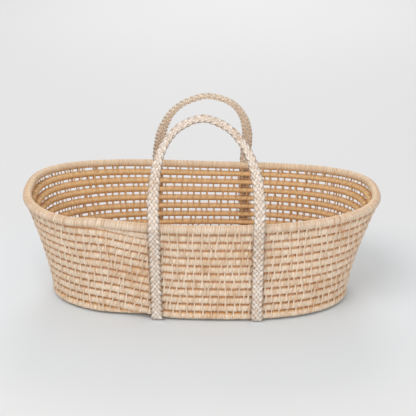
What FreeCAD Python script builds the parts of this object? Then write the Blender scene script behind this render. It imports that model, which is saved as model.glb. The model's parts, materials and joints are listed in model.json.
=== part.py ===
import FreeCAD, Part
import math
import os

# Moses basket: one long coil of leaf-wrapped fibre, wound from the middle of the floor out and up
# the wall, stitched turn to turn, with a separate rim coil, two sewn carrying straps and two grips.
# Millimetres. +X is the long way, +Z is up, the origin is under the middle of the floor.

# --- driving dimensions -----------------------------------------------------------------------
RIM_HALF_LENGTH = 400.0      # centre line of the rim coil
RIM_HALF_WIDTH = 210.1
RIM_POWER = 2.65             # squareness of the rim oval
FLOOR_HALF_LENGTH = 342.9    # centre line of the outermost floor turn
FLOOR_HALF_WIDTH = 171.0
FLOOR_POWER = 2.47
FLOOR_SHIFT = -5.7           # the floor sits slightly towards the left end
RIM_EGG = -0.0526            # the rim is a little narrower at the right end
FLOOR_EGG = 0.0801
RIM_HEIGHT = 230.5           # rim centre above the centre of the floor coil
END_RISE = 8.7               # the ends of the rim rise, the sides dip
RIM_TILT_X, RIM_TILT_Y = -4.5, 2.2
WALL_FLARE = 1.4             # how late the wall opens out
WALL_TURNS = 11              # turns from the floor edge up to the rim
FLOOR_TURNS = 7
COIL_R = 8.4
RIM_R = 10.0
STRAP_UNDER = 4.0            # thickness of a strap pressed flat under the floor
FLOOR_Z = STRAP_UNDER + 0.6 + COIL_R
FLOOR_INWARD = FLOOR_HALF_WIDTH - COIL_R - 2.0
FLOOR_PITCH = FLOOR_INWARD / FLOOR_TURNS

# the coil steps down one turn over this share of the way round, front left
STEP_START, STEP_END = -0.135, -0.020
FLOOR_AHEAD = 0.016          # floor turns step this much sooner, to clear the turn that comes down
HUMP = 9.7                   # the rim rides over the coil's tapered end
HUMP_AT, HUMP_RUN = math.radians(-118), math.radians(40)

LEG_WIDTH, LEG_THICK = 25.0, 9.0
LEGS_X = {"front": (-99.0, 125.0), "back": (-117.0, 104.0)}
GRIP_WIDTH, GRIP_THICK = 22.0, 11.0
GRIP_REACH = 231.0           # from the pivot to the top of the grip's centre line
GRIP_STRAIGHT = 60.0         # each side runs straight this far, then follows half an ellipse
GRIP_LEAN = {"front": 27.0, "back": 33.0}     # degrees inwards, as they stand
GRIP_SWAY = {"front": -9.0, "back": 18.0}     # each soft arch also sways sideways a little
PIVOT_OUT = RIM_R + GRIP_THICK / 2 + 0.9
PIVOT_UP = 11.0              # pivot above the centre of the rim coil
LEG_TOP_GAP = 8.6            # leg's top below the pivot, so the grip can fold right out

TAIL_START = -0.113
START_SHARE = 0.88           # the coil starts with a hairpin this share of a turn long
CUT = 0.3 / 2000             # share of a turn left open between two turns

STITCH_PITCH = 78.0
STITCH_WIDTH, STITCH_DEPTH = 4.0, 10.0
CLEAR = 0.7
LASHING_OUT = LEG_WIDTH / 2 + 1.6     # twine comes through beside each edge of a leg


def vec(x, y, z):
    return FreeCAD.Vector(x, y, z)


def smooth(t):
    t = min(1.0, max(0.0, t))
    return t * t * (3 - 2 * t)


def rim_height(x, y, a, b):
    """Height of the rim coil's centre at a place on its oval."""
    turn = math.atan2(y / b, x / a)
    past = (turn - HUMP_AT) % (2 * math.pi)
    before = past - 2 * math.pi
    hump = math.exp(-past / HUMP_RUN) + smooth(1 + before / math.radians(15)) * (past > 4)
    return (FLOOR_Z + RIM_HEIGHT + RIM_TILT_X * math.cos(turn) + RIM_TILT_Y * math.sin(turn)
            + END_RISE * math.cos(2 * turn) - 1.1 * math.sin(2 * turn) + HUMP * hump)


def section_place(level):
    """Share of the wall's height, and distance in from the wall's foot, for a turn."""
    return max(level, 0.0) / WALL_TURNS, max(-level, 0.0) * FLOOR_PITCH


def oval(level, steps=400):
    """One closed turn as a dense loop of points that starts at the front middle."""
    up, inward = section_place(level)
    g = up ** WALL_FLARE
    a = FLOOR_HALF_LENGTH + (RIM_HALF_LENGTH - FLOOR_HALF_LENGTH) * g
    b = FLOOR_HALF_WIDTH + (RIM_HALF_WIDTH - FLOOR_HALF_WIDTH) * g
    power = FLOOR_POWER + (RIM_POWER - FLOOR_POWER) * up
    w = inward / FLOOR_INWARD
    egg = (FLOOR_EGG + (RIM_EGG - FLOOR_EGG) * g) * (1 - w)
    shift = FLOOR_SHIFT * (1 - g)
    q = power / (power - 1)
    straight = (a - b) * w
    points = []
    for i in range(steps):
        t = -math.pi / 2 + 2 * math.pi * (i + 0.5) / steps
        c, s = math.cos(t), math.sin(t)
        reach = ((a * abs(c)) ** q + (b * abs(s)) ** q) ** (1 / q)
        x = reach ** (1 - q) * a ** q * abs(c) ** (q - 1) * (1 if c > 0 else -1)
        y = reach ** (1 - q) * b ** q * abs(s) ** (q - 1) * (1 if s > 0 else -1)
        x = (1 - w) * x + w * b * c + math.copysign(straight, c)
        y = ((1 - w) * y + w * b * s) * (1 + egg * x / a) - inward * s
        x -= inward * c
        z = FLOOR_Z + (rim_height(x, y, a, b) - FLOOR_Z) * up
        points.append(vec(x + shift, y, z))
    first = (points[0] + points[-1]) * 0.5
    return [first] + points + [first]


def coil_point(level, share, memo={}):
    """Centre of the coil, share of the way round a turn from the front middle."""
    key = round(level, 6)
    if key not in memo:
        loop = oval(level)
        run = [0.0]
        for p, q in zip(loop, loop[1:]):
            run.append(run[-1] + (q - p).Length)
        memo[key] = (loop, run)
    loop, run = memo[key]
    want = (share % 1.0) * run[-1]
    low, high = 0, len(run) - 1
    while high - low > 1:
        mid = (low + high) // 2
        low, high = (mid, high) if run[mid] <= want else (low, mid)
    part = (want - run[low]) / max(run[high] - run[low], 1e-9)
    return loop[low] + (loop[high] - loop[low]) * part


def turn_length(level):
    return sum((coil_point(level, (i + 1) / 60) - coil_point(level, i / 60)).Length for i in range(60))


def step(share, level):
    """0 before the place where this turn of the coil steps to the next one down, 1 after it."""
    ahead = FLOOR_AHEAD if level <= 0 else 0.0
    return smooth((share + ahead - 1 - STEP_START) / (STEP_END - STEP_START))


def arc(start, along, end):
    """The circular arc from start to end that leaves start in the direction along."""
    chord = end - start
    axis = along.cross(chord)
    if axis.Length < 2e-4 * chord.Length:
        return Part.makeLine(start, end)
    axis.normalize()
    inward = axis.cross(along)
    bend = chord.Length ** 2 / (2 * chord.dot(inward))
    centre = start + inward * bend
    half = math.degrees(math.asin(min(1.0, chord.Length / (2 * bend))))
    return Part.Arc(start, centre + FreeCAD.Rotation(axis, half).multVec(start - centre), end).toShape()


def bar_along(points, tangents, section):
    """A bar of this section along pairs of tangent arcs through the points."""
    edges = []
    for p, q, t, u in zip(points, points[1:], tangents, tangents[1:]):
        v, both = q - p, t + u
        k = 2 * (1 - t.dot(u))
        if k < 1e-9:
            d = v.dot(v) / (4 * v.dot(u))
        else:
            d = (-v.dot(both) + math.sqrt(v.dot(both) ** 2 + k * v.dot(v))) / k
        near, far = p + t * d, q - u * d
        middle = (near + far) * 0.5
        edges += [arc(p, t, middle), arc(middle, (far - near).normalize(), q)]
    return Part.Wire(edges).makePipeShell([section], True, False)


def tube(points, tangents, radius):
    return bar_along(points, tangents, Part.Wire(Part.makeCircle(radius, points[0], tangents[0])))


def coil_path(place, first, last, count):
    """Points and tangents of place(share), evenly from first to last."""
    tiny, points, tangents = 2e-3, [], []
    for i in range(count):
        share = first + (last - first) * i / (count - 1)
        points.append(place(share))
        along = place(share + tiny) - place(share - tiny)
        tangents.append(along.normalize())
    return points, tangents


def web(lower, upper, along, lower_r, upper_r):
    """One stitch where it shows between two turns: it fills the gap across a short length."""
    rise = upper - lower
    gap_way = vec(*rise)
    gap_way.normalize()
    side = along.cross(gap_way).normalize()
    half = STITCH_DEPTH / 2

    def edge(centre, radius, sign, way):
        drop = math.sqrt(radius ** 2 - half ** 2)
        ends = [centre + gap_way * (way * drop) + side * (s * half) for s in (-sign, sign)]
        return ends, centre + gap_way * (way * radius)

    (a, b), low_mid = edge(lower, lower_r + CLEAR, 1, 1)
    (c, d), high_mid = edge(upper, upper_r + CLEAR, -1, -1)
    wire = Part.Wire([Part.Arc(a, low_mid, b).toShape(), Part.makeLine(b, c),
                      Part.Arc(c, high_mid, d).toShape(), Part.makeLine(d, a)])
    bar = Part.Face(wire).extrude(along * STITCH_WIDTH)
    bar.translate(along * (-STITCH_WIDTH / 2))
    return bar


def meets_lashing(place):
    """Whether the twine of a leg comes through the wall just here."""
    side = "front" if place.y < 0 else "back"
    if abs(place.y) < FLOOR_HALF_WIDTH * 0.8:
        return False
    return any(abs(place.x - x - edge * LASHING_OUT) < STITCH_WIDTH / 2 + 1.6
               for x in LEGS_X[side] for edge in (-1, 1))


def stitches(level, first, last):
    """Stitches between the turn at this level and the one above it."""
    upper_r = RIM_R if level == WALL_TURNS - 1 else COIL_R
    count = max(6, int(turn_length(level) * (last - first) / STITCH_PITCH))
    bars = []
    for i in range(count):
        share = first + (last - first) * (i + 0.5) / count
        here = level - step(share, level)
        lower = coil_point(here, share)
        along = (coil_point(here, share + 2e-3) - coil_point(here, share - 2e-3)).normalize()
        upper, beside = lower, share
        for _ in range(5):       # the place on the turn above that is square to this one
            upper = coil_point(level + 1 - step(beside, level + 1), beside)
            beside -= (upper - lower).dot(along) / turn_length(level + 1)
        wanted = (upper - lower).Length > COIL_R + upper_r + 4 * CLEAR
        if wanted and not meets_lashing(lower):
            bars.append(web(lower, upper, along, COIL_R + (0 if level >= 0 else 0.6), upper_r))
    return Part.makeCompound(bars)


def grip_point(side, share):
    """Centre line of a grip as if it stood upright, from its left foot to its right one."""
    left, right = LEGS_X[side]
    middle, half = (left + right) / 2, (right - left) / 2
    turn = math.pi * (1 - share) * 1.4 - math.pi * 0.2
    if turn > math.pi:
        x, up = left, GRIP_STRAIGHT * (1 - (turn - math.pi) / (math.pi * 0.2))
    elif turn < 0:
        x, up = right, GRIP_STRAIGHT * (1 + turn / (math.pi * 0.2))
    else:
        x, up = middle + half * math.cos(turn), GRIP_STRAIGHT + (GRIP_REACH - GRIP_STRAIGHT) * math.sin(turn)
    pivot = pivot_at(side)
    return vec(x + GRIP_SWAY[side] * smooth(up / GRIP_REACH), pivot.y, pivot.z + up)


def grip(side):
    """Free arch of one plaited handle, made standing up, then leant in."""
    sign = -1 if side == "front" else 1
    pivot, r = pivot_at(side), GRIP_THICK / 2
    flat = GRIP_WIDTH / 2 - r
    points = [grip_point(side, i / 28) for i in range(29)]
    ahead = [grip_point(side, min(1, i / 28 + 1e-3)) - grip_point(side, max(0, i / 28 - 1e-3)) for i in range(29)]
    c, d = points[0] - vec(flat, 0, 0), points[0] + vec(flat, 0, 0)
    out, side_way = vec(0, r, 0), vec(r, 0, 0)
    section = Part.Wire([
        Part.makeLine(c - out, d - out), Part.Arc(d - out, d + side_way, d + out).toShape(),
        Part.makeLine(d + out, c + out), Part.Arc(c + out, c - side_way, c - out).toShape()])
    bars = [bar_along(points, [t.normalize() for t in ahead], section)]
    for x in LEGS_X[side]:
        bars.append(Part.makeCylinder(r, 2 * flat, vec(x - flat, pivot.y, pivot.z), vec(1, 0, 0)))
        bars += [Part.makeSphere(r, vec(x + s * flat, pivot.y, pivot.z)) for s in (-1, 1)]
    arch = bars[0].multiFuse(bars[1:]).removeSplitter()
    arch.rotate(pivot, vec(1, 0, 0), sign * GRIP_LEAN[side])
    return arch


def pivot_at(side):
    """Where the plait bends, just above and outside the rim."""
    sign = -1 if side == "front" else 1
    tops = [near_x(WALL_TURNS, x, -1) for x in LEGS_X["front"]]
    tops += [near_x(WALL_TURNS, x, 1) for x in LEGS_X["back"]]
    own = tops[:2] if side == "front" else tops[2:]
    y = max(abs(p.y) for p in tops) + PIVOT_OUT
    return vec(0, sign * y, max(p.z for p in own) + PIVOT_UP)


def near_x(level, x, sign):
    """Coil centre on the front (-1) or back (+1) wall at this x."""
    centre = 0.0 if sign < 0 else 0.5
    shares = [centre + i / 400 for i in range(-80, 81)]
    return min((coil_point(level, s) for s in shares), key=lambda p: abs(p.x - x))


def turn_near_x(turn, x, sign):
    """Centre of one turn of the spiral, on the front (-1) or back (+1) wall, at this x."""
    centre = 0.0 if sign < 0 else 0.5
    laps = [centre + i / 400 for i in range(-80, 81)]
    laps = [lap if lap > STEP_END else lap + 1 for lap in laps]
    return min((coil_point(turn - step(lap, turn), lap) for lap in laps), key=lambda p: abs(p.x - x))


STRAP_LEVELS = [1, 2, 3, 4, 5, 6, 7, 8, 9, 10]
FOOT_BEND = [10, 32, 54, 76]   # degrees round the lowest coil


def strap(which):
    """Sewn run of the plait: down the front wall, flat under the floor, up the back wall."""
    bars, feet = [], {}
    for side, sign in (("front", -1), ("back", 1)):
        x = LEGS_X[side][which]
        top = pivot_at(side)
        away = COIL_R + 0.9
        foot = [near_x(0, x + dx, sign) for dx in (-LEG_WIDTH / 2, LEG_WIDTH / 2)]
        line = [(max(abs(p.y) for p in foot) + away * 1.03 * math.sin(math.radians(a)),
                 FLOOR_Z - away * 1.03 * math.cos(math.radians(a))) for a in FOOT_BEND]
        for level in STRAP_LEVELS:
            edges = []
            for dx in (-LEG_WIDTH / 2, LEG_WIDTH / 2):
                low, mid, up = (near_x(level + d, x + dx, sign) for d in (-0.2, 0, 0.2))
                rise, run_out = up.z - low.z, abs(up.y) - abs(low.y)
                size = math.hypot(rise, run_out)
                edges.append((abs(mid.y) + away * rise / size, mid.z - away * run_out / size))
            line.append((max(y for y, _ in edges), min(z for _, z in edges)))
        high = top.z - LEG_TOP_GAP
        line.append((abs(top.y) - LEG_THICK / 2 + 0.3, high - 12))
        line.append((abs(top.y) - LEG_THICK / 2 + 0.3, high))
        inner = [vec(x - LEG_WIDTH / 2, sign * y, z) for y, z in line]
        outer = [vec(p.x, p.y + sign * LEG_THICK, p.z) for p in inner]
        foot = vec(inner[0].x, inner[0].y, 0), vec(outer[0].x, outer[0].y - sign * 3, 0)
        loop = [foot[0]] + inner + outer[::-1] + [foot[1], foot[0]]
        bars.append(Part.Face(Part.makePolygon(loop)).extrude(vec(LEG_WIDTH, 0, 0)))
        feet[side] = (x, foot[0].y - sign * 1.0)
    (x0, y0), (x1, y1) = feet["front"], feet["back"]
    h = LEG_WIDTH / 2
    y0, y1 = y0 - 3, y1 + 3
    run = Part.Face(Part.makePolygon([vec(x0 - h, y0, 0), vec(x0 + h, y0, 0), vec(x1 + h, y1, 0),
                                      vec(x1 - h, y1, 0), vec(x0 - h, y0, 0)]))
    bars.append(run.extrude(vec(0, 0, STRAP_UNDER)))
    return bars[0].multiFuse(bars[1:]).removeSplitter()


def lashings(side, which):
    """Twine that holds one leg: a short run through the wall at each gap, both edges of the leg."""
    sign = -1 if side == "front" else 1
    bars = []
    for edge in (-1, 1):
        x = LEGS_X[side][which] + edge * LASHING_OUT
        for turn in range(1, WALL_TURNS - 1):
            low, high = turn_near_x(turn, x, sign), turn_near_x(turn + 1, x, sign)
            rise = (high - low).normalize()
            out = vec(0, sign * rise.z, -sign * rise.y).normalize()
            middle = (low + high) * 0.5
            bars.append(Part.makeCylinder(0.8, 26, vec(x, middle.y, middle.z) + out * 11, -out))
    return Part.makeCompound(bars)


def tail():
    """The coil's outer end: it tapers away between the rim and the last turn."""
    rings, count = [], 9
    for i in range(count):
        share = TAIL_START + (STEP_END - CUT - TAIL_START) * i / (count - 1)
        centre, along = (tail_point(share), tail_point(share + 2e-3) - tail_point(share - 2e-3))
        room = (coil_point(WALL_TURNS, share) - coil_point(WALL_TURNS - 1 - step(share + 1, WALL_TURNS), share)).Length
        radius = min(COIL_R, (room - RIM_R - COIL_R) / 2 - 1.6)
        side = along.cross(vec(0, 0, 1)).normalize() * radius
        top = side.cross(along.normalize())
        rings.append(Part.Wire([
            Part.Arc(centre + top, centre + side, centre - top).toShape(),
            Part.Arc(centre - top, centre - side, centre + top).toShape()]))
    return Part.makeLoft(rings, True, False)


def tail_point(share):
    return coil_point(WALL_TURNS - (1 + step(share + 1, WALL_TURNS)) / 2, share)


def save(name, shape):
    if not shape.isValid():
        print("not valid:", name)
    print(name, len(shape.Solids), round(shape.Volume / 1000, 1), "cm3")
    shape.exportStep("parts/%s.step" % name)


def turn_place(level):
    return lambda share: coil_point(level - step(share, level), share)


os.makedirs("parts", exist_ok=True)

# rim: a separate closed coil
halves = [tube(*coil_path(lambda s: coil_point(WALL_TURNS, s), start, start + 0.5, 18), RIM_R)
          for start in (0, 0.5)]
save("rim_coil", halves[0].fuse(halves[1]))

# wall and floor: one spiral, kept turn by turn with a clean cut between turns
for level in range(WALL_TURNS - 1, -FLOOR_TURNS - 1, -1):
    last = STEP_END + (1 if level > -FLOOR_TURNS else START_SHARE) - CUT
    points, tangents = coil_path(turn_place(level), STEP_END + CUT, last, 38)
    name = "wall_turn_%02d" % (level + 1) if level >= 0 else "floor_turn_%02d" % (level + FLOOR_TURNS)
    save(name if level > -FLOOR_TURNS else "floor_coil_start", tube(points, tangents, COIL_R))
save("coil_tail", tail())

# stitching: the gap above each turn
for level in range(-FLOOR_TURNS, WALL_TURNS):
    last = STEP_END + 1
    if level == WALL_TURNS - 1:
        last = STEP_START + 1 - 0.01
    if level == -FLOOR_TURNS:
        last = STEP_END + START_SHARE
    where = "wall" if level >= 0 else "floor"
    number = level + 1 if level >= 0 else level + FLOOR_TURNS + 1
    save("%s_stitches_%02d" % (where, number), stitches(level, STEP_END, last))

# carrying straps, lashings and grips
for which, end in enumerate(("left", "right")):
    save("strap_" + end, strap(which))
    for side in ("front", "back"):
        save("lashings_%s_%s" % (side, end), lashings(side, which))
for side in ("front", "back"):
    save("grip_" + side, grip(side))
    print(side, "pivot", [round(v, 1) for v in pivot_at(side)])
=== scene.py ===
import bpy
import json
import math
import numpy as np
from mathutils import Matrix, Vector


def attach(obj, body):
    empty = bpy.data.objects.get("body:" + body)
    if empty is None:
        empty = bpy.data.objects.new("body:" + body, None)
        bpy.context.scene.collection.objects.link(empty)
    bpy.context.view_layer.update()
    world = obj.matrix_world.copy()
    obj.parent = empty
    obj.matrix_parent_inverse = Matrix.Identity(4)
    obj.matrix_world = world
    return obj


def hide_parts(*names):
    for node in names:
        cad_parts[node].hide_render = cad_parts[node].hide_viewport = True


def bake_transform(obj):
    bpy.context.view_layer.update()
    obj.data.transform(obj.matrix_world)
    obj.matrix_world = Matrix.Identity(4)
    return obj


# Moses basket: a coil of fibre wrapped in leaf strip and sewn turn to turn, a paler rim coil,
# and two plaited handles that run down the walls and under the floor. Metres, seeded.

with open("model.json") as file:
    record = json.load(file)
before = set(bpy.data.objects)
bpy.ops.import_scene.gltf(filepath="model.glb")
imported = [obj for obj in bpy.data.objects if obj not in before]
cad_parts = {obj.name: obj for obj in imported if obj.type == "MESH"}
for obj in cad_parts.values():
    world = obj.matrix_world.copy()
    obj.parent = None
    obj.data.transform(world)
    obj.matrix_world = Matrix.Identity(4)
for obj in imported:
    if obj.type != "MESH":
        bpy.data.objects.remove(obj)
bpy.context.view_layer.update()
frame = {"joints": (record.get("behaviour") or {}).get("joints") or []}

# --- the basket's driving dimensions, the same as in the part's own design ---------------------
RIM_COIL_R, WALL_COIL_R = 0.0100, 0.0086
RIM_HALF_LENGTH = 0.4000
RIM_HALF_WIDTH = 0.2101
RIM_POWER, FLOOR_POWER = 2.65, 2.47
FLOOR_HALF_LENGTH, FLOOR_HALF_WIDTH = 0.3429, 0.1710
FLOOR_SHIFT = -0.0057
RIM_EGG, FLOOR_EGG = -0.0526, 0.0801
RIM_HEIGHT = 0.2305
END_RISE, RIM_TILT_X, RIM_TILT_Y, RIM_SKEW = 0.0087, -0.0045, 0.0022, -0.0011
WALL_FLARE = 1.4
WALL_TURNS, FLOOR_TURNS = 11, 7
FLOOR_Z = 0.0130
FLOOR_INWARD = FLOOR_HALF_WIDTH - 0.0104
FLOOR_PITCH = FLOOR_INWARD / FLOOR_TURNS
STEP_START, STEP_END, FLOOR_AHEAD = -0.135, -0.020, 0.016
TAIL_START = -0.113
START_SHARE = 0.88
HUMP, HUMP_AT, HUMP_RUN = 0.0097, math.radians(-118), math.radians(40)

# --- how the leaf-wrapped coils and their stitches differ from plain round ones -----------------
GAP, GAP_MORE_BEHIND = 0.0047, 0.0016     # open gap between one turn and the next
DEPTH_OUT, DEPTH_IN = 0.0076, 0.0088      # a wall coil from its centre to its outer and inner face
HALF_LOWEST, HALF_HIGHEST, HALF_LESS_BEHIND = 0.0070, 0.0092, 0.0007
CORNER_COIL_R = 0.0084                    # the coil is round where the wall meets the floor
RIM_HALF, RIM_LIFT = 0.0091, 0.0008       # the rim is pressed a little flat and sits high
WALL_SQUARENESS, INNER_SQUARENESS, RIM_SQUARENESS = 2.6, 2.1, 2.2
WALL_WRAP, RIM_WRAP = 0.0031, 0.0026      # one wrap of leaf along the coil
STITCH_PERIOD, STITCH_WIDTH, STITCH_THICK = 0.0173, 0.0035, 0.0008
TWINE_R = 0.00095

# --- handles ------------------------------------------------------------------------------------
LEGS_X = {"front": (-0.099, 0.125), "back": (-0.117, 0.104)}
joints = {j["name"]: j for j in frame["joints"]}
PIVOT = {"front": np.array(joints["front_grip_fold"]["pos_m"], float),
         "back": np.array(joints["back_grip_fold"]["pos_m"], float)}
GRIP_LEAN = {"front": math.radians(27), "back": math.radians(33.5)}
CUT_BELOW = 0.046                         # a strap gives way to its grip this far below the pivot


def smooth(t):
    t = np.clip(t, 0.0, 1.0)
    return t * t * (3 - 2 * t)


def unit(v):
    return v / np.maximum(np.linalg.norm(v, axis=-1, keepdims=True), 1e-12)


# --- the coil's path ----------------------------------------------------------------------------
def section_place(level):
    """Share of the wall's height, and distance in from the wall's foot, at each level."""
    return np.maximum(level, 0) / WALL_TURNS, np.maximum(-level, 0) * FLOOR_PITCH


def rim_height(x, y, a, b):
    turn = np.arctan2(y / b, x / a)
    past = (turn - HUMP_AT) % (2 * math.pi)
    before = past - 2 * math.pi
    hump = np.exp(-past / HUMP_RUN) + smooth(1 + before / math.radians(15)) * (past > 4)
    return (FLOOR_Z + RIM_HEIGHT + RIM_TILT_X * np.cos(turn) + RIM_TILT_Y * np.sin(turn)
            + END_RISE * np.cos(2 * turn) + RIM_SKEW * np.sin(2 * turn) + HUMP * hump)


LEVEL_STEP, AROUND = 0.05, 900
levels = np.arange(-FLOOR_TURNS - 0.5, WALL_TURNS + 0.5 + LEVEL_STEP / 2, LEVEL_STEP)


def oval_table():
    """Coil centres by level and by share of the way round from the front middle."""
    level = levels[:, None]
    up, inward = section_place(level)
    g = up ** WALL_FLARE
    a = FLOOR_HALF_LENGTH + (RIM_HALF_LENGTH - FLOOR_HALF_LENGTH) * g
    b = FLOOR_HALF_WIDTH + (RIM_HALF_WIDTH - FLOOR_HALF_WIDTH) * g
    power = FLOOR_POWER + (RIM_POWER - FLOOR_POWER) * up
    w = np.minimum(inward / FLOOR_INWARD, 1)
    egg = (FLOOR_EGG + (RIM_EGG - FLOOR_EGG) * g) * (1 - w)
    q = power / (power - 1)
    t = -math.pi / 2 + 2 * math.pi * (np.arange(AROUND)[None, :] + 0.5) / AROUND
    c, s = np.cos(t), np.sin(t)
    reach = ((a * abs(c)) ** q + (b * abs(s)) ** q) ** (1 / q)
    x = reach ** (1 - q) * a ** q * abs(c) ** (q - 1) * np.sign(c)
    y = reach ** (1 - q) * b ** q * abs(s) ** (q - 1) * np.sign(s)
    x = (1 - w) * x + w * b * c + np.sign(c) * (a - b) * w
    y = ((1 - w) * y + w * b * s) * (1 + egg * x / a) - inward * s
    x = x - inward * c
    z = FLOOR_Z + (rim_height(x, y, a, b) - FLOOR_Z) * up
    loop = np.stack([x + FLOOR_SHIFT * (1 - g), y, z], -1)
    first = (loop[:, :1] + loop[:, -1:]) / 2
    loop = np.concatenate([first, loop, first], 1)
    run = np.concatenate([np.zeros((len(levels), 1)),
                          np.cumsum(np.linalg.norm(np.diff(loop, axis=1), axis=-1), 1)], 1)
    shares = np.arange(AROUND + 1) / AROUND
    table = np.empty((len(levels), AROUND + 1, 3))
    for i in range(len(levels)):
        for k in range(3):
            table[i, :, k] = np.interp(shares * run[i, -1], run[i], loop[i, :, k])
    return table, run[:, -1]


TABLE, TURN_LENGTHS = oval_table()


def coil_at(level, share):
    """Coil centre at each level and share of a turn, by straight interpolation of the table."""
    level, share = np.broadcast_arrays(np.asarray(level, float), np.asarray(share, float))
    row = np.clip((level - levels[0]) / LEVEL_STEP, 0, len(levels) - 1.001)
    col = (share % 1.0) * AROUND
    i, j = row.astype(int), np.minimum(col.astype(int), AROUND - 1)
    r, c = (row - i)[..., None], (col - j)[..., None]
    return ((1 - r) * ((1 - c) * TABLE[i, j] + c * TABLE[i, j + 1])
            + r * ((1 - c) * TABLE[i + 1, j] + c * TABLE[i + 1, j + 1]))


def turn_length(level):
    return float(np.interp(level, levels, TURN_LENGTHS))


def step(share, level=WALL_TURNS):
    """0 before the place where this turn of the coil steps one turn down, 1 after it."""
    return smooth((share + (FLOOR_AHEAD if level <= 0 else 0) - 1 - STEP_START) / (STEP_END - STEP_START))


def coil_frame(level_at, share, ahead=2e-3):
    """Centre, direction along the coil, outward and up-the-wall directions, and the pitch there."""
    level = level_at(share)
    centre = coil_at(level, share)
    along = unit(coil_at(level_at(share + ahead), share + ahead)
                 - coil_at(level_at(share - ahead), share - ahead))
    above, below = coil_at(level + 0.5, share), coil_at(level - 0.5, share)
    up = above - below
    up = up - along * np.sum(up * along, -1, keepdims=True)
    pitch = np.linalg.norm(above - centre, axis=-1) + np.linalg.norm(centre - below, axis=-1)
    return centre, along, unit(np.cross(along, up)), unit(up), pitch


def wander(count, seed, waves=9):
    """A slow, smooth, seeded wobble between about -1 and 1 along a turn."""
    local = np.random.default_rng(seed)
    t = np.linspace(0, 2 * math.pi, count)
    total = np.zeros(count)
    for k in range(3, 3 + waves):
        total += local.normal() * np.sin(k * t + local.uniform(0, 6.28)) / waves ** 0.5
    return total


# --- mesh building ------------------------------------------------------------------------------
def mesh_object(name, parts):
    """One object from several tubes of quads, with their end caps."""
    points, loops, sizes, uvs, strips, rises, painted_light_and_shade_values, start = [], [], [], [], [], [], [], 0
    for p, quads, uv, strip, rise, painted_light_and_shade, caps in parts:
        points.append(p)
        loops.append((quads + start).ravel())
        sizes.append(np.full(len(quads), 4))
        uvs.append(uv.reshape(-1, 2))
        strips.append(strip)
        rises.append(rise)
        painted_light_and_shade_values.append(painted_light_and_shade)
        for cap in caps:
            loops.append(np.asarray(cap) + start)
            sizes.append(np.array([len(cap)]))
            uvs.append(np.zeros((len(cap), 2)))
            strips.append(strip[:1])
        start += len(p)
    points, loops, sizes = np.concatenate(points), np.concatenate(loops), np.concatenate(sizes)
    mesh = bpy.data.meshes.new(name)
    mesh.vertices.add(len(points))
    mesh.vertices.foreach_set("co", np.ascontiguousarray(points, np.float32).ravel())
    mesh.loops.add(len(loops))
    mesh.loops.foreach_set("vertex_index", np.ascontiguousarray(loops, np.int32))
    mesh.polygons.add(len(sizes))
    starts = np.concatenate([[0], np.cumsum(sizes)[:-1]])
    mesh.polygons.foreach_set("loop_start", np.ascontiguousarray(starts, np.int32))
    mesh.polygons.foreach_set("use_smooth", np.ones(len(sizes), bool))
    mesh.update(calc_edges=True)
    mesh.uv_layers.new(name="leaf").data.foreach_set(
        "uv", np.ascontiguousarray(np.concatenate(uvs), np.float32).ravel())
    mesh.attributes.new("strip", "FLOAT", "FACE").data.foreach_set(
        "value", np.ascontiguousarray(np.concatenate(strips), np.float32))
    mesh.attributes.new("rise", "FLOAT", "POINT").data.foreach_set(
        "value", np.ascontiguousarray(np.concatenate(rises), np.float32))
    mesh.attributes.new("painted_light_and_shade", "FLOAT", "POINT").data.foreach_set(
        "value", np.ascontiguousarray(np.concatenate(painted_light_and_shade_values), np.float32))
    mesh.validate()
    piece = bpy.data.objects.new(name, mesh)
    bpy.context.scene.collection.objects.link(piece)
    return piece


def tube(rings, along, strip, rise, closed=False, painted_light_and_shade=None):
    """A tube through rings of points (n, m, 3), with how far along each ring is, one strip value
    for each ring, one groove-to-crest value for each ring or point, which sets the painted shade in
    the grooves, and how far each point takes the colour of painted light and shade, such as the
    painted shade between two turns."""
    n, m = rings.shape[:2]
    i = np.arange(n if closed else n - 1)[:, None]
    j = np.arange(m)[None, :]
    ni, nj = (i + 1) % n, (j + 1) % m
    quads = np.stack([i * m + j, ni * m + j, ni * m + nj, i * m + nj], -1).reshape(-1, 4)
    far = np.append(along[1:], 2 * along[-1] - along[-2])
    u0 = np.broadcast_to(along[:len(i), None], (len(i), m))
    u1 = np.broadcast_to(far[:len(i), None], (len(i), m))
    v0 = np.broadcast_to(j / m, (len(i), m))
    v1 = v0 + 1 / m
    uv = np.stack([np.stack([u0, v0], -1), np.stack([u1, v0], -1),
                   np.stack([u1, v1], -1), np.stack([u0, v1], -1)], -2).reshape(-1, 4, 2)
    rise = np.broadcast_to(rise[:, None] if rise.ndim == 1 else rise, (n, m)).ravel()
    painted_light_and_shade = np.zeros(n * m) if painted_light_and_shade is None else painted_light_and_shade.ravel()
    caps = [] if closed else [np.arange(m), np.arange(n * m - 1, (n - 1) * m - 1, -1)]
    return rings.reshape(-1, 3), quads, uv, np.repeat(strip[:len(i)], m), rise, painted_light_and_shade, caps


# --- wrapped coils ------------------------------------------------------------------------------
COIL_AROUND = 14
WRAP_AT = np.array([0.05, 0.28, 0.66, 0.93])      # rings across one wrap of leaf
WRAP_LIFT = np.array([-1.0, 0.55, 1.0, 0.15])     # and how proud each one stands
angle = 2 * math.pi * np.arange(COIL_AROUND) / COIL_AROUND


def superellipse(power):
    """Across and up, for a coil's section: 2 is round, more is squarer."""
    c, s = np.cos(angle), np.sin(angle)
    return abs(c) ** (2 / power) * np.sign(c), abs(s) ** (2 / power) * np.sign(s)


def half_height(pitch, y):
    """Half the height of a coil; the coil is slimmer round the back, so the gaps are wider."""
    back = smooth((y + 0.08) / 0.2)
    return np.clip((pitch - GAP - GAP_MORE_BEHIND * back) / 2,
                   HALF_LOWEST - HALF_LESS_BEHIND * back, HALF_HIGHEST)


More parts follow.
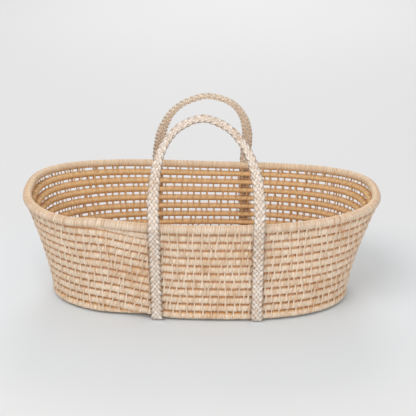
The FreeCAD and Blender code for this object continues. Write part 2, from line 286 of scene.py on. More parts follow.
def wrapped_coil(name, level_at, first, last, pitch, seed, depth_out, depth_in, tall=None,
                 squareness=WALL_SQUARENESS, lift=0.00034, scale_at=None, closed=False, lift_up=0.0):
    """A coil whose surface is leaf wound round it, wrap by wrap."""
    local = np.random.default_rng(seed)
    check = np.linspace(first, last, 400)
    steps = np.linalg.norm(np.diff(coil_at(level_at(check), check), axis=0), axis=-1)
    run = np.concatenate([[0], np.cumsum(steps)])
    count = int(run[-1] / pitch)
    widths = np.clip(1 + 0.34 * local.normal(size=count), 0.4, 2.0)
    edges = np.concatenate([[0], np.cumsum(widths)]) / widths.sum() * run[-1]
    at = (edges[:-1, None] + WRAP_AT * np.diff(edges)[:, None]).ravel()
    proud = (WRAP_LIFT * np.clip(1 + 0.35 * local.normal(size=(count, 1)), 0.3, 1.9)).ravel()
    tone = np.repeat(local.random(count), 4)
    # painted shade: the ring in the groove between two wraps is darkened, the crest ring is not
    rise = np.tile([0.0, 0.8, 1.0, 0.45], count)
    if not closed:
        at = np.concatenate([[0], at, [run[-1]]])
        proud = np.concatenate([[0], proud, [0]])
        tone = np.concatenate([tone[:1], tone, tone[-1:]])
        rise = np.concatenate([[0.5], rise, [0.5]])
    share = np.interp(at, run, check)
    centre, along, outward, up, turn_pitch = coil_frame(level_at, share)
    window = 1.0 if closed else smooth(np.minimum(at, run[-1] - at) / 0.02)
    half = np.full(len(at), tall) if tall else half_height(turn_pitch, centre[:, 1])
    centre = centre + up * lift_up
    half_in = half if tall else half - 0.0009
    scale = np.ones(len(at)) if scale_at is None else scale_at(share)
    slow = np.interp(at, np.linspace(0, run[-1], 700), wander(700, seed + 1) * 0.5)
    slow_in = np.interp(at, np.linspace(0, run[-1], 700), wander(700, seed + 2) * 0.5)
    swell = 1 + 0.03 * window * slow
    centre = centre + outward * (0.0006 * window * slow_in)[:, None]
    wrap_tilt = np.repeat(local.normal(size=count) * 0.11, 4)
    tilt = (0.12 + 0.08 * slow + (wrap_tilt if closed else np.concatenate([[0], wrap_tilt, [0]]))) * window
    c_out, s_out = superellipse(squareness)
    c_in, s_in = superellipse(INNER_SQUARENESS)
    ahead = np.cos(angle) >= 0
    x = np.where(ahead, c_out * depth_out, c_in * depth_in)[None, :]
    z = np.where(ahead, s_out * half[:, None], s_in * half_in[:, None])
    # painted shade: the top and bottom faces of the coil, between one turn and the next, are mixed towards a
    # warmer shade colour
    painted_light_and_shade = np.tile(smooth((abs(np.sin(angle)) - 0.78) / 0.2), (len(at), 1))
    if not closed:
        corner = np.clip(1 - abs(level_at(share)) / 0.6, 0, 1)[:, None]     # rounder at the wall's foot
        # painted shade in the inner crease where the wall meets the floor
        painted_light_and_shade = painted_light_and_shade * (1 - corner) + 0.7 * corner * smooth((np.sin(angle) - np.cos(angle) - 1.0) / 0.4)
        x = x * (1 - corner) + corner * np.cos(angle) * CORNER_COIL_R
        z = z * (1 - corner) + corner * np.sin(angle) * CORNER_COIL_R
    x, z = x * (scale * swell)[:, None], z * (scale * swell)[:, None]
    size = np.hypot(x, z)
    bumps = 1 + (lift * proud * window * np.minimum(scale * 2, 1))[:, None] / np.maximum(size, 1e-4)
    skew = tilt[:, None] * z
    rings = (centre[:, None] + outward[:, None] * (x * bumps)[..., None]
             + up[:, None] * (z * bumps)[..., None] + along[:, None] * skew[..., None])
    return mesh_object(name, [tube(rings, at + seed * 0.7, tone, rise, closed, painted_light_and_shade)])


def turn_levels(level):
    return lambda share: level - step(share, level)


def sits(piece, finish, *nodes):
    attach(piece, "basket")
    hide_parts(*nodes)
    return piece


# --- stitches -----------------------------------------------------------------------------------
def rim_level(share):
    return np.full(np.shape(share), float(WALL_TURNS))


def tail_level(share):
    return WALL_TURNS - (1 + step(share + 1)) / 2


def below_tail(share):
    return WALL_TURNS - 1 - step(share + 1)


def tail_scale(share):
    """How much of its full size the coil has along its tapered outer end."""
    rim, turn = coil_at(WALL_TURNS, share), coil_at(below_tail(share), share)
    room = (np.linalg.norm(rim - turn, axis=-1) - RIM_COIL_R - WALL_COIL_R) / 2 - 0.0006
    return np.clip(room / WALL_COIL_R, 0.12, 1)


def stitch_strips(lower_at, upper_at, first, last, seed, lower_scale=None, upper_scale=None):
    """Leaf strips that loop over the upper coil, cross the gap and fan out over the lower one."""
    local = np.random.default_rng(seed)
    middle = np.array([(first + last) / 2])
    level = float(lower_at(middle)[0])
    length = turn_length(level + 0.5) * (last - first)
    count = max(3, int(length / STITCH_PERIOD))
    share = first + (last - first) * (np.arange(count) + 0.5 + 0.16 * local.normal(size=count)) / count
    share = np.clip(share, first + 0.002, last - 0.002)
    lower, along, _, _, low_pitch = coil_frame(lower_at, share)
    beside = share.copy()
    for _ in range(5):      # the place on the coil above that is square to this one
        upper = coil_at(upper_at(beside), beside)
        beside = beside - np.sum((upper - lower) * along, -1) / turn_length(level + 1)
    upper = coil_at(upper_at(beside), beside)
    room = np.linalg.norm(upper - lower, axis=-1)
    up = unit(upper - lower - along * np.sum((upper - lower) * along, -1, keepdims=True))
    out = unit(np.cross(along, up))
    rim = upper_at is rim_level
    scale_l = np.ones(count) if lower_scale is None else lower_scale(share)
    scale_u = np.ones(count) if upper_scale is None else upper_scale(beside)
    half = half_height(room, lower[:, 1])
    low_half = (half if lower_scale is None and upper_scale is None else 0.0080) * scale_l
    high_half = np.full(count, RIM_HALF) if rim else (half if upper_scale is None else 0.0080) * scale_u
    if rim:
        low_half = half_height(low_pitch, lower[:, 1]) * scale_l
    keep = room > low_half + high_half + 0.0016
    upper = upper + up * (RIM_LIFT if rim else 0.0)
    depth_l, depth_li = DEPTH_OUT * scale_l, DEPTH_IN * scale_l
    depth_u, depth_ui = (RIM_COIL_R, RIM_COIL_R) if rim else (DEPTH_OUT * scale_u, DEPTH_IN * scale_u)
    # (lower or upper coil, share of its depth, share of its half height, width, face)
    outside = [(0, 0.55, -0.84, 3.5), (0, 0.76, -0.79, 3.7), (0, 0.95, -0.50, 3.4), (0, 1.03, -0.12, 2.8),
               (0, 1.03, 0.22, 2.2), (0, 1.00, 0.55, 1.6), (0, 0.90, 0.94, 1.2),
               (1, 0.88, -0.95, 1.0), (1, 0.88, -0.62, 1.0), (1, 0.90, -0.3, 1.0), (1, 0.89, 0.3, 0.95),
               (1, 0.68, 0.76, 0.9)]
    inside = [(0, 0.45, 0.05, 1.4), (0, 0.96, 0.20, 1.4), (0, 0.87, 0.52, 1.3), (0, 0.66, 0.92, 1.1),
              (1, 0.66, -0.92, 1.0), (1, 0.80, -0.55, 1.0), (1, 0.91, -0.2, 1.0), (1, 0.89, 0.3, 0.95),
              (1, 0.65, 0.70, 0.9)]
    path = ([p + (1,) for p in outside] + [(1, 0, 0.95, 0.9, 0)] + [p + (-1,) for p in inside[::-1]])
    slant = 0.06 + 0.07 * local.normal(size=count)
    width = STITCH_WIDTH * np.clip(1 + 0.16 * local.normal(size=count), 0.65, 1.4)
    fan = np.clip(local.normal(size=count) * 0.4 + 0.75, 0.1, 1.35)
    tone = local.random(count)
    centres, sides = [], []
    for coil, o, u, w, face_way in path:
        base, half = (upper, high_half) if coil else (lower, low_half)
        deep_out, deep_in = (depth_u, depth_ui) if coil else (depth_l, depth_li)
        deep = deep_out if face_way >= 0 else deep_in
        p = base + out * (np.ones(count) * o * deep * face_way)[:, None] + up * (u * half)[:, None]
        height = np.sum((p - (upper + lower) / 2) * up, -1)
        centres.append(p + along * (slant * face_way * np.clip(height, -0.008, 0.02))[:, None])
        sides.append(width * (1 + (w - 1) * np.where(w > 1, fan, 1)))
    centres = np.stack(centres, 1)
    sides = np.stack(sides, 1)[..., None]
    ahead = np.gradient(centres, axis=1)
    normal = unit(np.cross(along[:, None], ahead))
    across = unit(np.cross(ahead, normal))
    shape = [(-0.5, 0), (-0.3, 0.5), (0.3, 0.5), (0.5, 0), (0.3, -0.5), (-0.3, -0.5)]
    rings = np.stack([centres + across * (a * sides) - normal * (b * STITCH_THICK)
                      for a, b in shape], 2)
    run = np.linspace(0, 0.05, len(path))
    crest = np.full(len(path), 0.9)
    # painted warm light: the part of each stitch inside the basket is mixed towards a golden colour
    within = np.repeat([[float(p[4] <= 0)] for p in path], len(shape), 1)     # inside the basket
    return [tube(rings[i], run + i * 0.11, np.full(len(path), tone[i]), crest, painted_light_and_shade=within)
            for i in range(count) if keep[i]]


# --- plaited handles ----------------------------------------------------------------------------
STRANDS, REPEAT = 5, 0.070
ARCHES = {   # centre line in the plane of each grip: sideways, and up the slope from the pivot
    "front": [(-0.100, 0.034), (-0.100, 0.060), (-0.096, 0.110), (-0.086, 0.155), (-0.066, 0.192),
              (-0.035, 0.219), (0.003, 0.231), (0.040, 0.222), (0.072, 0.199), (0.097, 0.166),
              (0.114, 0.125), (0.123, 0.080), (0.126, 0.034)],
    "back": [(-0.113, 0.034), (-0.109, 0.060), (-0.101, 0.104), (-0.083, 0.157), (-0.062, 0.192),
             (-0.036, 0.216), (0.008, 0.235), (0.045, 0.226), (0.075, 0.203), (0.097, 0.160),
             (0.107, 0.107), (0.108, 0.060), (0.106, 0.034)]}
LEG_LEVELS = [1, 2, 3, 4, 5, 6, 7, 8, 9, 10, 10.6]
FOOT_BEND = [5, 27, 50, 73]       # degrees round the lowest coil


def at_x(row, x):
    """Where a row of points crosses this x."""
    order = np.argsort(row[:, 0])
    return np.array([np.interp(x, row[order, 0], row[order, k]) for k in range(3)])


def leg_line(side, which):
    """Centre line and outward direction of one leg, from under the floor to above the rim."""
    sign = -1 if side == "front" else 1
    x = LEGS_X[side][which]
    share = (0.0 if sign < 0 else 0.5) + np.linspace(-0.2, 0.2, 801)
    points, outs = [], []
    foot = at_x(coil_at(0, share), x)
    for bend in FOOT_BEND:
        out = np.array([0, sign * math.sin(math.radians(bend)), -math.cos(math.radians(bend))])
        points.append(foot + out * (0.0109 + 0.0016 * smooth(bend / 70)))
        outs.append(out)
    for level in LEG_LEVELS:
        below, here, above = (at_x(coil_at(level + d, share), x) for d in (-0.2, 0, 0.2))
        rise = unit(above - below)
        out = np.array([0, sign * rise[2], -sign * rise[1]])
        points.append(here + out * 0.0124)
        outs.append(out)
    points.append(at_x(coil_at(WALL_TURNS, share), x) + np.array([0, sign * (RIM_COIL_R + 0.0046), 0.002]))
    outs.append(np.array([0, sign * 1.0, 0.05]))
    return points, outs


def loop_path():
    """The whole plait as one closed line, with the way its outer face looks."""
    points, outs = [], []

    def leg(side, which, down):
        p, o = leg_line(side, which)
        points.extend(p[::-1] if down else p)
        outs.extend(o[::-1] if down else o)

    def arch(side, way):
        sign = -1 if side == "front" else 1
        lean = GRIP_LEAN[side]
        for x, up in ARCHES[side][::way]:
            points.append(PIVOT[side] + np.array([x, -sign * math.sin(lean) * up, math.cos(lean) * up]))
            outs.append(np.array([0, sign * math.cos(lean), math.sin(lean)]))

    leg("back", 0, True)
    leg("front", 0, False)
    arch("front", 1)
    leg("front", 1, True)
    leg("back", 1, False)
    arch("back", -1)
    return np.array(points), np.array(outs)


def smooth_line(points, outs, spacing):
    """A closed centripetal curve through the points, evenly spaced."""
    n = len(points)
    gaps = np.linalg.norm(np.roll(points, -1, 0) - points, axis=1)
    fine_p, fine_o = [], []
    for i in range(n):
        p0, p1, p2, p3 = (points[(i + k) % n] for k in (-1, 0, 1, 2))
        t0, t1, t2 = gaps[(i - 1) % n] ** 0.5, gaps[i] ** 0.5, gaps[(i + 1) % n] ** 0.5
        m1 = ((p1 - p0) / t0 - (p2 - p0) / (t0 + t1) + (p2 - p1) / t1) * t1
        m2 = ((p2 - p1) / t1 - (p3 - p1) / (t1 + t2) + (p3 - p2) / t2) * t1
        t = np.linspace(0, 1, 30, endpoint=False)[:, None]
        fine_p.append((2 * t ** 3 - 3 * t ** 2 + 1) * p1 + (t ** 3 - 2 * t ** 2 + t) * m1
                      + (3 * t ** 2 - 2 * t ** 3) * p2 + (t ** 3 - t ** 2) * m2)
        fine_o.append((1 - t) * outs[i] + t * outs[(i + 1) % n])
    line, out = np.concatenate(fine_p), np.concatenate(fine_o)
    line = np.vstack([line, line[:1]])
    out = np.vstack([out, out[:1]])
    run = np.concatenate([[0], np.cumsum(np.linalg.norm(np.diff(line, axis=0), axis=1))])
    count = int(run[-1] / spacing)
    at = np.arange(count) * run[-1] / count
    even = np.stack([np.interp(at, run, line[:, k]) for k in range(3)], 1)
    facing = np.stack([np.interp(at, run, out[:, k]) for k in range(3)], 1)
    return even, facing, at, run[-1]


LINE, FACING, ALONG, LOOP = smooth_line(*loop_path(), 0.0014)
REPEAT = LOOP / round(LOOP / REPEAT)
ahead = unit(np.roll(LINE, -2, 0) - np.roll(LINE, 2, 0))
for _ in range(6):
    FACING = (np.roll(FACING, 1, 0) + FACING + np.roll(FACING, -1, 0)) / 3
FACING = unit(FACING - ahead * np.sum(FACING * ahead, 1, keepdims=True))
ACROSS = np.cross(ahead, FACING)


def plait_strand(k, local):
    """Ring points of one strand of the plait along the whole loop."""
    u = (ALONG / REPEAT + k / STRANDS) % 1.0
    swing = np.arcsin(0.97 * np.sin(2 * math.pi * (u - 0.25))) / math.asin(0.97)
    place = 2 * STRANDS * u
    nodes = [0, 1, -1, 1, -1, 0, 1, -1, 1, -1, 0]
    low = np.floor(place).astype(int) % (2 * STRANDS)
    part = 0.5 - 0.5 * np.cos(math.pi * (place % 1))
    weave = np.array(nodes, float)[low] * (1 - part) + np.array(nodes, float)[low + 1] * part
    # thinner under the floor, plumper along the top of the arch
    under = 1 - smooth((LINE[:, 2] - 0.010) / 0.030)
    top = smooth((LINE[:, 2] - 0.30) / 0.14)
    lift = 0.0020 - 0.0011 * under + 0.0009 * top
    thick = 0.0020 - 0.0010 * under + 0.0005 * top
    reach = 0.0094 - 0.0036 * top
    wide = 0.0040 - 0.0007 * top
    loose = local.normal(size=240)
    jitter = np.interp(ALONG, np.linspace(0, LOOP, 241), np.append(loose, loose[0]))
    centre = LINE + ACROSS * (swing * reach * (1 + 0.03 * jitter))[:, None] + FACING * (weave * lift)[:, None]
    way = unit(np.roll(centre, -1, 0) - np.roll(centre, 1, 0))
    side = unit(np.cross(way, FACING))
    face = np.cross(side, way)
    t = 2 * math.pi * np.arange(12) / 12
    swell = 1 + 0.07 * np.roll(jitter, 40)
    x = np.cos(t)[None, :] * (wide * swell)[:, None]
    y = (np.sin(t) * (1 + 0.16 * np.cos(3 * math.pi * np.cos(t))))[None, :] * (thick * swell)[:, None]
    rings = centre[:, None] + side[:, None] * x[..., None] + face[:, None] * y[..., None]
    facing = np.clip(2 * np.sin(t), -1, 1)[None, :]
    # painted shade: a strand is darker where it passes under its neighbour and along its two sides
    rise = np.clip(0.62 + 0.45 * weave[:, None] * facing - 0.55 * abs(np.cos(t))[None, :] ** 4, 0, 1)
    return rings, rise


def plait_parts(low, high, strands):
    """The plait between two places on the loop; it is painted paler up the back arch, as painted light."""
    count = len(ALONG)
    index = np.arange(low, high + 1) % count
    run = np.arange(len(index)) * (LOOP / count)
    line = LINE[index]
    # painted light: towards the top of the back arch the plait is paler and its grooves less shaded
    pale = (smooth((line[:, 2] - 0.25) / 0.13) * (line[:, 1] > 0))[:, None]
    parts = []
    for k, (rings, rise) in enumerate(strands):
        crest = rise[index] + (1 - rise[index]) * 0.5 * pale
        parts.append(tube(rings[index], run + low * LOOP / count + 0.31 * k,
                          np.full(len(index), 0.1 + 0.19 * k), crest, painted_light_and_shade=pale * np.ones(crest.shape)))
    return parts


def cut_places():
    """Where the plait is divided: below each pivot, in the order of the loop."""
    places, count = [], len(ALONG)
    z, y = LINE[:, 2], LINE[:, 1]
    nxt = np.roll(z, -1)
    for i in range(count):
        level = (PIVOT["front"] if y[i] < 0 else PIVOT["back"])[2] - CUT_BELOW
        if (z[i] - level) * (nxt[i] - level) <= 0 and z[i] != nxt[i]:
            places.append(i)
    return places


# --- lashings -----------------------------------------------------------------------------------
def twine_loop(side, which, turn, local):
    """Twine through one gap: over one edge of the leg, behind the wall, over the other edge."""
    sign = -1 if side == "front" else 1
    x = LEGS_X[side][which]
    share = (0.0 if sign < 0 else 0.5) + np.linspace(-0.2, 0.2, 801)
    share = np.where(share > STEP_END, share, share + 1)
    gap = (coil_at(turn - step(share), share) + coil_at(turn + 1 - step(share), share)) / 2
    rise = unit(coil_at(turn + 1 - step(share), share) - coil_at(turn - step(share), share))
    order = np.argsort(gap[:, 0])

    def at(x_want):
        return (np.array([x_want] + [np.interp(x_want, gap[order, 0], gap[order, k]) for k in (1, 2)]),
                np.array([np.interp(x_want, gap[order, 0], rise[order, k]) for k in range(3)]))

    half = 0.0125
    spots = []
    for edge in (-1, 1):
        jog, lean = local.normal(size=2) * (0.0006, 0.0012)
        # (out from the leg's middle, out from the wall, up), over the edge and in behind the wall
        run = [(half - 0.0050, 0.0120, lean), (half - 0.0034, 0.0148, lean),
               (half - 0.0012, 0.0156, lean * 0.6), (half + 0.0006, 0.0142, 0),
               (half + 0.0018 + jog, 0.0110, 0), (half + 0.0020 + jog, 0.003, 0),
               (half + 0.0018, -0.0060, 0), (half - 0.0005, -0.0086, 0), (half - 0.005, -0.0082, 0)]
        run = run if edge < 0 else run[::-1]
        for along, out, lift in run:
            p, up = at(x + edge * along)
            outward = unit(np.array([0, sign * up[2], -sign * up[1]]))
            spots.append(p + outward * out + up * lift)
    spots = np.array(spots)
    t = np.arange(len(spots))
    fine = np.linspace(0, len(spots) - 1, 52)
    line = np.stack([np.interp(fine, t, spots[:, k]) for k in range(3)], 1)
    for _ in range(2):
        line[1:-1] = (line[:-2] + 2 * line[1:-1] + line[2:]) / 4
    way = unit(np.gradient(line, axis=0))
    first = unit(np.cross(way, np.array([0.3, 0.2, 1.0])))
    second = np.cross(way, first)
    run = np.concatenate([[0], np.cumsum(np.linalg.norm(np.diff(line, axis=0), axis=1))])
    around = 2 * math.pi * np.arange(7) / 7
    ply = 1 + 0.16 * np.cos(2 * (around[None, :] + run[:, None] / 0.0016 * 2))
    r = TWINE_R * ply
    rings = (line[:, None] + first[:, None] * (np.cos(around)[None, :] * r)[..., None]
             + second[:, None] * (np.sin(around)[None, :] * r)[..., None])
    return tube(rings, run, np.full(len(run), local.random()), np.full(len(run), 0.7))


# --- camera -------------------------------------------------------------------------------------
TARGET = np.array([0.0137, 0.0002, 0.2038])
DISTANCE, CAMERA_UP, CAMERA_SIDE = 2.3287, 0.3819, 0.0118
look = np.array([math.sin(CAMERA_SIDE) * math.cos(CAMERA_UP),
                 -math.cos(CAMERA_SIDE) * math.cos(CAMERA_UP), math.sin(CAMERA_UP)])
lens = bpy.data.cameras.new("camera")
lens.lens, lens.sensor_width = 86.15, 36.0
camera = bpy.data.objects.new("camera", lens)
bpy.context.scene.collection.objects.link(camera)
camera.location = TARGET + look * DISTANCE
camera.rotation_euler = Vector(-look).to_track_quat("-Z", "Y").to_euler()
bpy.context.scene.camera = camera


# --- materials ----------------------------------------------------------------------------------
def colour(r, g, b):
    """A colour as it looks on screen, 0 to 255, as linear light."""
    return tuple(((c / 255 + 0.055) / 1.055) ** 2.4 if c > 10 else c / 3294 for c in (r, g, b)) + (1.0,)


class Sheet:
    """Short way to add and link nodes in one tree."""

    def __init__(self, tree):
        self.tree = tree

    def add(self, kind, inputs=(), **settings):
        node = self.tree.nodes.new("ShaderNode" + kind)
        for key, value in settings.items():
            setattr(node, key, value)
        for key, value in dict(inputs).items():
            if isinstance(value, bpy.types.NodeSocket):
                self.tree.links.new(value, node.inputs[key])
            else:
                node.inputs[key].default_value = value
        return node

    def sum(self, operation, a, b=0.5, c=None, clamp=False):
        inputs = {0: a, 1: b} if c is None else {0: a, 1: b, 2: c}
        return self.add("Math", inputs, operation=operation, use_clamp=clamp).outputs[0]

    def mix(self, factor, a, b, blend="MIX"):
        node = self.add("Mix", {0: factor, 6: a, 7: b}, data_type="RGBA", blend_type=blend)
        return node.outputs[2]

    def ramp(self, value, low, high):
        node = self.add("MapRange", {0: value, 1: low, 2: high, 3: 0.0, 4: 1.0}, clamp=True)
        node.interpolation_type = "SMOOTHSTEP"
        return node.outputs[0]

    def noise(self, vector, scale, detail=3.0, rough=0.55):
        node = self.add("TexNoise", {"Vector": vector, "Scale": scale, "Detail": detail,
                                     "Roughness": rough}, noise_dimensions="3D")
        return node.outputs[0]


def leaf_group():
    """Dried leaf: fine fibre lines, tone that changes strip by strip, flecks, stains and crests worn
    smoother, with painted shade in the grooves, painted warm light on inner faces and a colour for other
    painted light and shade.
    """
    tree = bpy.data.node_groups.new("dried_leaf", "ShaderNodeTree")
    for name in ("Pale", "Warm", "Painted inner light", "Fleck", "Painted light and shade"):
        tree.interface.new_socket(name=name, in_out="INPUT", socket_type="NodeSocketColor")
    for name in ("Lines along", "Lines around", "Fleck share", "Groove shade", "Painted inner light share", "Painted light and shade share"):
        tree.interface.new_socket(name=name, in_out="INPUT", socket_type="NodeSocketFloat")
    for name, kind in (("Colour", "Color"), ("Roughness", "Float"), ("Height", "Float")):
        tree.interface.new_socket(name=name, in_out="OUTPUT", socket_type="NodeSocket" + kind)
    s = Sheet(tree)
    given = tree.nodes.new("NodeGroupInput").outputs
    uv = s.add("UVMap", uv_map="leaf").outputs[0]
    split = s.add("SeparateXYZ", {0: uv})
    along, around = split.outputs[0], split.outputs[1]
    strip = s.add("Attribute", attribute_name="strip").outputs["Fac"]
    rise = s.add("Attribute", attribute_name="rise").outputs["Fac"]
    place = s.add("TexCoord").outputs["Object"]
    turned = s.add("CombineXYZ", {0: s.sum("MULTIPLY", along, given["Lines along"]),
                                  1: s.sum("MULTIPLY", around, given["Lines around"]),
                                  2: s.sum("MULTIPLY", strip, 41.0)}).outputs[0]
    lines = s.noise(turned, 1.0, 3.0, 0.6)
    broad = s.noise(turned, 0.22, 2.0)
    stain = s.noise(place, 11.0, 4.0, 0.6)
    cloud = s.noise(place, 3.4, 2.0)
    spots = s.noise(place, 420.0, 2.0, 0.6)
    second = s.sum("FRACT", s.sum("MULTIPLY", strip, 17.31))
    stained = s.sum("MULTIPLY", s.ramp(stain, 0.48, 0.7), 0.4)
    patches = s.sum("MULTIPLY_ADD", s.ramp(broad, 0.35, 0.7), 0.35, stained)
    warm = s.sum("MULTIPLY_ADD", s.ramp(strip, 0.45, 1.0), 0.55, patches, clamp=True)
    base = s.mix(warm, given["Pale"], given["Warm"])
    # painted warm bounce light: faces that turn inward, into the basket, are mixed towards a golden colour
    inside = s.sum("MULTIPLY", s.ramp(s.sum("COSINE", s.sum("MULTIPLY", around, 2 * math.pi)), 0.35, -0.5),
                   given["Painted inner light share"])
    base = s.mix(inside, base, given["Painted inner light"])
    # painted light and shade: each point is mixed towards this colour as far as the mesh asks
    painted_light_and_shade = s.add("Attribute", attribute_name="painted_light_and_shade").outputs["Fac"]
    base = s.mix(s.sum("MULTIPLY", painted_light_and_shade, given["Painted light and shade share"]), base, given["Painted light and shade"])
    grain = s.sum("ADD", s.sum("MULTIPLY", lines, 0.6), s.sum("MULTIPLY", spots, 0.4))
    fleck = s.sum("MULTIPLY", s.ramp(grain, 0.53, 0.68), given["Fleck share"])
    fleck = s.sum("MULTIPLY", fleck, s.sum("MULTIPLY_ADD", second, 0.9, 0.25), clamp=True)
    base = s.mix(fleck, base, given["Fleck"])
    tone = s.sum("ADD", s.sum("MULTIPLY_ADD", lines, 0.36, 0.75),
                 s.sum("MULTIPLY_ADD", second, 0.17, s.sum("MULTIPLY_ADD", cloud, 0.16, -0.13)))
    # painted shade: the grooves darken by how low the rise value is, and the darker places are tinted warmer,
    # like shadow
    groove_shade = s.sum("SUBTRACT", 1.0, s.sum("MULTIPLY", s.sum("SUBTRACT", 1.0, rise), given["Groove shade"]))
    tone = s.sum("MULTIPLY", tone, groove_shade)
    red, blue = s.sum("POWER", tone, 0.9), s.sum("POWER", tone, 1.12)      # darker places are warmer
    shade = s.add("CombineColor", {0: red, 1: tone, 2: blue}).outputs[0]
    base = s.mix(1.0, base, shade, "MULTIPLY")
    rough = s.sum("MULTIPLY_ADD", lines, 0.25, s.sum("MULTIPLY_ADD", rise, -0.12, 0.50))
    out = tree.nodes.new("NodeGroupOutput").inputs
    tree.links.new(base, out["Colour"])
    tree.links.new(rough, out["Roughness"])
    tree.links.new(s.sum("ADD", lines, s.sum("MULTIPLY", spots, 0.35)), out["Height"])
    return tree


LEAF = leaf_group()


# the fifth colour is painted light and shade: painted shade between turns, painted warm light on stitches
# inside the basket, a painted highlight up the plait's back arch
def leaf_material(name, pale, warm, painted_inner_light, fleck, painted_light_and_shade=(0, 0, 0, 1), lines=(1500.0, 3.0), fleck_share=0.3,
                  groove_shade=0.3, painted_inner_light_share=0.0, painted_light_and_shade_share=0.0, bump=0.4, depth=0.0005, glow=0.3):
    material = bpy.data.materials.new(name)
    material.use_nodes = True
    tree = material.node_tree
    shader = tree.nodes["Principled BSDF"]
    s = Sheet(tree)
    leaf = s.add("Group", node_tree=LEAF)
    for key, value in (("Pale", pale), ("Warm", warm), ("Painted inner light", painted_inner_light), ("Fleck", fleck),
                       ("Lines along", lines[0]), ("Lines around", lines[1]), ("Fleck share", fleck_share),
                       ("Groove shade", groove_shade), ("Painted inner light share", painted_inner_light_share), ("Painted light and shade", painted_light_and_shade),
                       ("Painted light and shade share", painted_light_and_shade_share)):
        leaf.inputs[key].default_value = value
    tree.links.new(leaf.outputs["Colour"], shader.inputs["Base Color"])
    tree.links.new(leaf.outputs["Roughness"], shader.inputs["Roughness"])
    relief = s.add("Bump", {"Strength": bump, "Distance": depth, "Height": leaf.outputs["Height"]})
    tree.links.new(relief.outputs[0], shader.inputs["Normal"])
    shader.inputs["Specular IOR Level"].default_value = glow
    return material


# the third colour of each coil leaf is painted warm bounce light on its faces inside the basket
WALL = leaf_material("wall_leaf", colour(240, 222, 200), colour(214, 176, 138), colour(232, 190, 134),
                     colour(166, 114, 72), colour(232, 176, 118), painted_inner_light_share=0.85, fleck_share=0.7,
                     painted_light_and_shade_share=0.85, groove_shade=0.16)
RIM = leaf_material("rim_leaf", colour(236, 217, 195), colour(210, 174, 139), colour(238, 210, 174),
                    colour(158, 108, 68), colour(224, 170, 118), lines=(1500.0, 3.0), painted_inner_light_share=0.5,
                    fleck_share=0.9, painted_light_and_shade_share=0.2, groove_shade=0.32)
FLOOR = leaf_material("floor_leaf", colour(228, 194, 154), colour(208, 162, 114), colour(214, 168, 114),
                      colour(152, 102, 60), colour(210, 148, 92), painted_inner_light_share=0.6, fleck_share=0.5,
                      painted_light_and_shade_share=0.5)
STITCH = leaf_material("stitch", colour(240, 220, 198), colour(214, 178, 142), colour(226, 184, 136),
                       colour(172, 120, 78), colour(214, 170, 118), lines=(70.0, 46.0), fleck_share=0.6,
                       groove_shade=0.2, painted_light_and_shade_share=0.9)
# the plait's fifth colour is the painted highlight up its back arch
PLAIT = leaf_material("plait", colour(242, 232, 222), colour(212, 186, 162), colour(222, 200, 180),
                      colour(142, 102, 74), colour(254, 240, 220), lines=(110.0, 13.0), fleck_share=1.0,
                      groove_shade=0.72, painted_light_and_shade_share=0.75, bump=1.0, depth=0.0008)
TWINE = leaf_material("twine", colour(206, 168, 130), colour(170, 124, 86), colour(180, 136, 96),
                      colour(96, 62, 40), lines=(900.0, 8.0), bump=0.6)


# --- pieces -------------------------------------------------------------------------------------
def painted(piece, material):
    piece.data.materials.append(material)
    return piece


coil = {"depth_out": DEPTH_OUT, "depth_in": DEPTH_IN}
for level in range(WALL_TURNS - 1, -FLOOR_TURNS - 1, -1):
    begins = level == -FLOOR_TURNS
    name = "wall_turn_%02d" % (level + 1) if level >= 0 else "floor_turn_%02d" % (level + FLOOR_TURNS)
    name = "floor_coil_start" if begins else name
    last = STEP_END + (START_SHARE if begins else 1)
    piece = wrapped_coil("leaf_" + name, turn_levels(level), STEP_END, last, WALL_WRAP,
                         100 + 7 * level, **coil)
    sits(painted(piece, WALL if level >= 0 else FLOOR), "wall_leaf" if level >= 0 else "floor_leaf", name)

piece = wrapped_coil("leaf_rim_coil", rim_level, 0.0, 1.0, RIM_WRAP, 501, RIM_COIL_R, RIM_COIL_R,
                     tall=RIM_HALF, squareness=RIM_SQUARENESS, lift=0.00026, closed=True, lift_up=RIM_LIFT)
sits(painted(piece, RIM), "rim_leaf", "rim_coil")

piece = wrapped_coil("leaf_coil_tail", tail_level, TAIL_START, STEP_END, WALL_WRAP, 611,
                     scale_at=tail_scale, **coil)
sits(painted(piece, WALL), "wall_leaf", "coil_tail")

for level in range(-FLOOR_TURNS, WALL_TURNS):
    last = STEP_END + 1
    if level == WALL_TURNS - 1:
        last = STEP_START + 1 - 0.01
    if level == -FLOOR_TURNS:
        last = STEP_END + START_SHARE
    name = ("wall_stitches_%02d" % (level + 1) if level >= 0
            else "floor_stitches_%02d" % (level + FLOOR_TURNS + 1))
    top = level == WALL_TURNS - 1
    strips = stitch_strips(turn_levels(level), rim_level if top else turn_levels(level + 1),
                           STEP_END, last, 700 + 3 * level)
    if top:
        strips += stitch_strips(tail_level, rim_level, TAIL_START + 0.012, STEP_END, 801,
                                lower_scale=tail_scale)
        strips += stitch_strips(below_tail, tail_level, TAIL_START + 0.03, STEP_END, 802,
                                upper_scale=tail_scale)
    piece = mesh_object("leaf_" + name, strips)
    sits(painted(piece, STITCH), "stitch", name)

strands = [plait_strand(k, np.random.default_rng(40 + k)) for k in range(STRANDS)]
cuts = cut_places()
turns = len(ALONG)
# the loop starts at the top of the back left leg: strap, front grip, strap, back grip
spans = {"strap_left": (cuts[0], cuts[1]), "grip_front": (cuts[1], cuts[2]),
         "strap_right": (cuts[2], cuts[3]), "grip_back": (cuts[3], cuts[0] + turns)}
for name, (low, high) in spans.items():
    piece = painted(mesh_object("plait_" + name, plait_parts(low, high, strands)), PLAIT)
    if name.startswith("strap"):
        sits(piece, "plait", name)
    else:
        side = name.split("_")[1]
        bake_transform(piece)
        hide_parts(name)

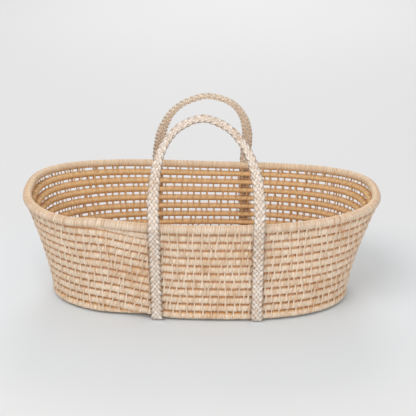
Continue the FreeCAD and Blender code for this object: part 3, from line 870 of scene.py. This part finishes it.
for which, end in enumerate(("left", "right")):
    for side in ("front", "back"):
        local = np.random.default_rng(900 + which * 2 + len(side))
        loops = [twine_loop(side, which, turn, local) for turn in range(1, WALL_TURNS - 1)]
        name = "lashings_%s_%s" % (side, end)
        sits(painted(mesh_object("twine_" + name, loops), TWINE), "twine", name)

# --- ground and light ---------------------------------------------------------------------------
ground = bpy.data.meshes.new("ground")
ground.from_pydata([(-30, -30, 0), (30, -30, 0), (30, 30, 0), (-30, 30, 0)], [], [(0, 1, 2, 3)])
ground = bpy.data.objects.new("ground", ground)
bpy.context.scene.collection.objects.link(ground)
paper = bpy.data.materials.new("paper")
paper.use_nodes = True
sheet = Sheet(paper.node_tree)    # cooler under the basket, where the leaf throws warm light on it
near = sheet.add("VectorMath", {0: sheet.add("TexCoord").outputs["Object"], 1: (1.35, 2.0, 0)},
                 operation="MULTIPLY").outputs[0]
far = sheet.ramp(sheet.add("VectorMath", {0: near}, operation="LENGTH").outputs["Value"], 0.3, 1.35)
shader = paper.node_tree.nodes["Principled BSDF"]
paper.node_tree.links.new(sheet.mix(far, (0.700, 0.737, 0.765, 1), (0.722, 0.722, 0.722, 1)),
                          shader.inputs["Base Color"])
shader.inputs["Roughness"].default_value = 0.9
ground.data.materials.append(paper)

world = bpy.data.worlds.new("studio")
bpy.context.scene.world = world
world.use_nodes = True
world.node_tree.nodes["Background"].inputs[0].default_value = (1.0, 1.0, 1.0, 1)
world.node_tree.nodes["Background"].inputs[1].default_value = 0.62


def lamp(name, where, size, power, tint=(1, 1, 1)):
    data = bpy.data.lights.new(name, "AREA")
    data.shape, data.size, data.energy, data.color = "DISK", size, power, tint
    item = bpy.data.objects.new(name, data)
    item.location = where
    item.rotation_euler = (Vector((0, 0, 0.15)) - Vector(where)).to_track_quat("-Z", "Y").to_euler()
    bpy.context.scene.collection.objects.link(item)
    return item


lamp("key", (-1.2, -1.9, 3.5), 2.6, 68)
lamp("fill", (0.7, -3.2, 0.9), 2.2, 27)
lamp("behind", (0.2, 4.6, 3.4), 3.0, 88)
bpy.context.scene.view_settings.view_transform = "Standard"
